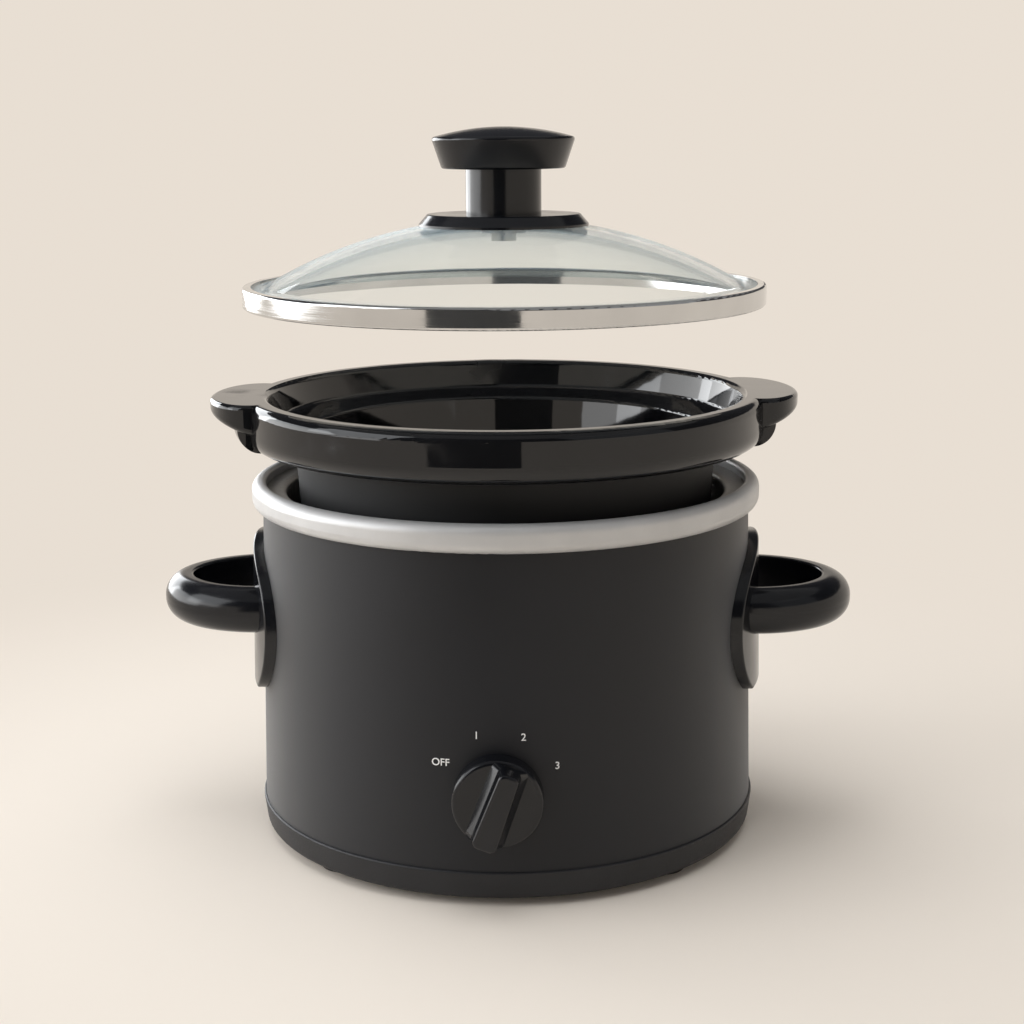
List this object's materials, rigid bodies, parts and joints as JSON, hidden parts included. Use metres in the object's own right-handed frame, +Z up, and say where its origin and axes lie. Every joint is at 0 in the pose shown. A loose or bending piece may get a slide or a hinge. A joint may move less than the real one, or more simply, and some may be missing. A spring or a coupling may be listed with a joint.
{
  "type": "slow cooker",
  "caption": "Round countertop slow cooker: a black dial-controlled heating base with side handles, a lift-out glazed crock with ears, and a domed glass lid with a knob.",
  "frame": {"origin": "on the body's vertical axis, at the level of the surface that the feet stand on", "axes": "+Z up, the dial faces -Y, +X to the right as seen from the front"},
  "size_m": [0.2846, 0.2302, 0.285],
  "materials": {
    "clear_glass": "clear, polished",
    "polished_steel": "polished",
    "black_gloss": "gloss",
    "brass": "satin",
    "plated_steel": "zinc plated",
    "silicone": "matte",
    "black_glaze": "gloss glaze",
    "shell_paint": "satin",
    "silver_collar": "matte",
    "liner_metal": "satin",
    "mica": "matte",
    "glass_wool": "matte",
    "tray_plastic": "satin",
    "black_rubber": "matte",
    "switch_plastic": "matte",
    "rotor_plastic": "matte",
    "white_ceramic": "matte",
    "fuse_case": "satin",
    "dark_sleeve": "matte",
    "pale_sleeve": "matte"
  },
  "bodies": {
    "base": {"left_handle": "black_gloss", "right_handle": "black_gloss", "switch_contacts": "brass", "switch_terminals": "brass", "terminal_screws": "brass", "heater_straps": "plated_steel", "strap_screws": "plated_steel", "tie_stud": "plated_steel", "tie_washer": "plated_steel", "tie_nut": "plated_steel", "handle_screws": "plated_steel", "handle_washers": "plated_steel", "switch_nut": "plated_steel", "switch_bracket": "plated_steel", "bracket_screws": "plated_steel", "block_screw": "plated_steel", "fuse_clip": "plated_steel", "outer_shell": "shell_paint", "rim_collar": "silver_collar", "inner_liner": "liner_metal", "heating_element": "mica", "insulation_wrap": "glass_wool", "base_tray": "tray_plastic", "rubber_feet": "black_rubber", "cord_gland": "black_rubber", "switch_housing": "switch_plastic", "switch_cover": "switch_plastic", "terminal_block": "white_ceramic", "thermal_fuse": "fuse_case", "live_wire": "dark_sleeve", "fuse_wire": "dark_sleeve", "low_wire": "dark_sleeve", "high_wire": "pale_sleeve", "warm_wire": "pale_sleeve", "neutral_wire": "pale_sleeve"},
    "crock": {"crock": "black_glaze"},
    "lid": {"lid_glass": "clear_glass", "lid_rim_band": "polished_steel", "lid_knob_cap": "black_gloss", "lid_knob_stem": "black_gloss", "lid_knob_base": "black_gloss", "lid_knob_insert": "brass", "lid_knob_screw": "plated_steel", "lid_knob_washer": "plated_steel", "lid_knob_gasket": "silicone"},
    "dial": {"dial_knob": "black_gloss", "dial_shaft": "plated_steel", "switch_rotor": "rotor_plastic"}
  },
  "joints": [
    {"name": "crock_lift", "type": "slide", "parent": "base", "child": "crock", "axis": [0, 0, 1], "range_m": [-0.0134, 0.09]},
    {"name": "lid_lift", "type": "slide", "parent": "crock", "child": "lid", "axis": [0, 0, 1], "range_m": [-0.0354, 0.06]},
    {"name": "dial_turn", "type": "hinge", "parent": "base", "child": "dial", "pos_m": [0, -0.1, 0.0434], "axis": [0, 1, 0], "range_deg": [-80, 40]}
  ]
}
